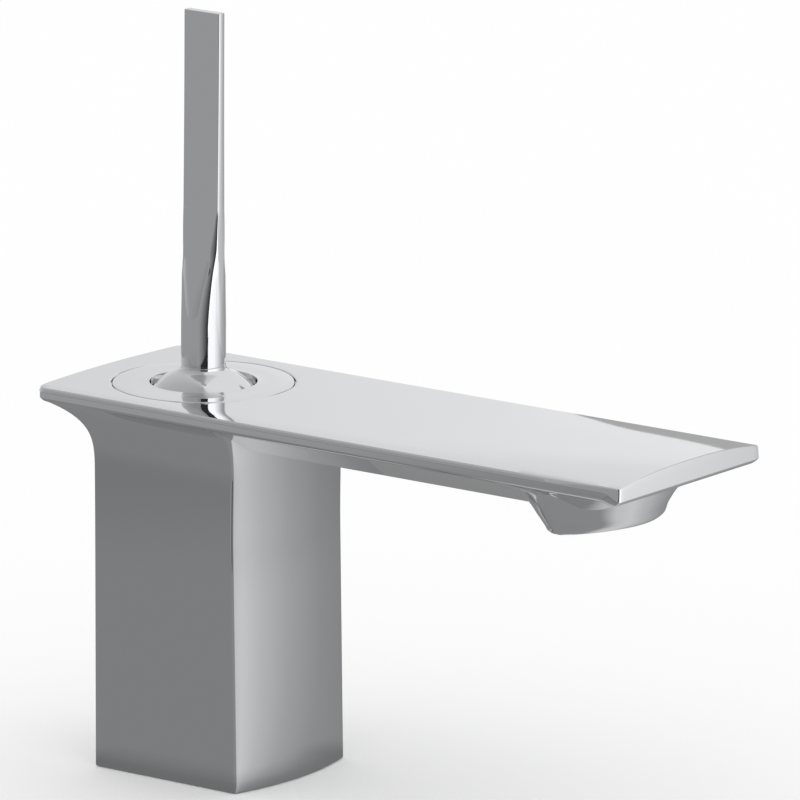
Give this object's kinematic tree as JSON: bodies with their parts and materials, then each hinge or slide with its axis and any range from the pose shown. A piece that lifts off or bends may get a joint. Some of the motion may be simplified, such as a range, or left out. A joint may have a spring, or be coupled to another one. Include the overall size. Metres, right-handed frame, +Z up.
{
  "type": "basin mixer tap",
  "caption": "Single-hole basin mixer tap: square pillar, flat plate spout with an oval outlet, and an upright joystick lever that fades from a round foot to a thin blade.",
  "frame": {"origin": "on the lever's upright axis, at the level of the basin's top, over the middle of the tap hole", "axes": "+X from the pillar along the spout to its end, +Z up through the lever, +Y across the spout"},
  "size_m": [0.2009, 0.0638, 0.2119],
  "materials": {
    "chrome_casting": "polished chrome plate on a brass casting",
    "chrome_ring": "polished chrome plate on turned brass",
    "chrome_handle": "polished chrome plate on forged brass",
    "chrome_aerator": "chrome plate on turned brass",
    "brass": "bare turned brass",
    "rubber": "black moulded rubber",
    "cartridge_plastic": "white moulded acetal",
    "carrier_plastic": "orange moulded acetal",
    "ceramic": "lapped alumina ceramic",
    "steel": "stainless steel",
    "aerator_plastic": "grey moulded plastic"
  },
  "bodies": {
    "root": {"body_casting": "chrome_casting", "foot_gasket": "rubber", "trim_ring": "chrome_ring", "trim_ring_seal": "rubber", "cartridge_nut": "brass", "cartridge_housing": "cartridge_plastic", "cartridge_base": "cartridge_plastic", "port_seals": "rubber", "disc_seal": "rubber", "fixed_disc": "ceramic", "aerator_housing": "chrome_aerator", "aerator_seal": "rubber", "aerator_screen": "steel", "flow_straightener": "aerator_plastic"},
    "rotor": {"rotor": "cartridge_plastic", "pivot_pin": "steel"},
    "lever": {"lever_spindle": "brass", "handle_dome": "chrome_handle", "handle_lever": "chrome_handle", "grub_screw": "steel"},
    "disc_slide": {"disc_carrier": "carrier_plastic", "moving_disc": "ceramic"}
  },
  "joints": [
    {"name": "handle_swivel", "type": "hinge", "parent": "root", "child": "rotor", "pos_m": [0, 0, 0.09395], "axis": [0, 0, 1], "range_deg": [-40, 40]},
    {"name": "handle_tilt", "type": "hinge", "parent": "rotor", "child": "lever", "pos_m": [0, 0, 0.09395], "axis": [0, 1, 0], "range_deg": [0, 22]},
    {"name": "disc_travel", "type": "slide", "parent": "rotor", "child": "disc_slide", "axis": [-1, 0, 0], "range_m": [0, 0.00565]}
  ],
  "couplings": [
    {"joint": "disc_travel", "follows": "handle_tilt", "m_per_rad": 0.014634}
  ]
}
